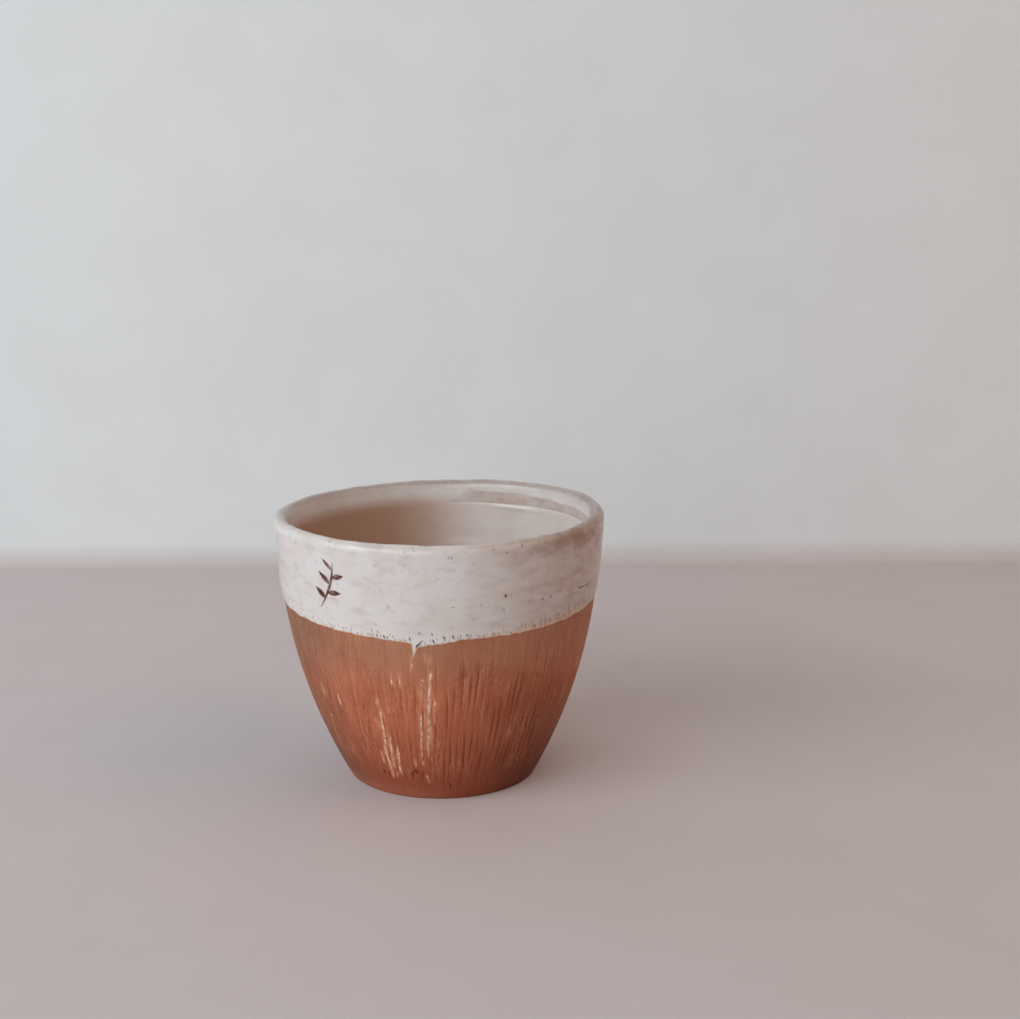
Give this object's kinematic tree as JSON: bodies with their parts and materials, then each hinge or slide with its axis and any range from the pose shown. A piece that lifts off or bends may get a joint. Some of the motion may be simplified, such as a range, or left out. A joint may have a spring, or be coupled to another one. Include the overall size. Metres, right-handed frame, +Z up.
{
  "type": "handleless cup",
  "caption": "Small thrown cup without handles: red clay wall on a flat foot, glazed white inside and in a dipped band round the lip.",
  "frame": {"origin": "centre of the flat foot, on the surface the cup stands on", "axes": "+Z up the cup, -Y towards the side with the glaze run, +X to the right seen from that side"},
  "size_m": [0.08, 0.08, 0.0657],
  "materials": {
    "red_clay": "bare fired clay, scraped, satin",
    "white_glaze": "glossy white, breaking brown where thin"
  },
  "bodies": {
    "root": {"clay_body": "red_clay", "liner_glaze": "white_glaze", "dipped_glaze": "white_glaze"}
  },
  "joints": []
}
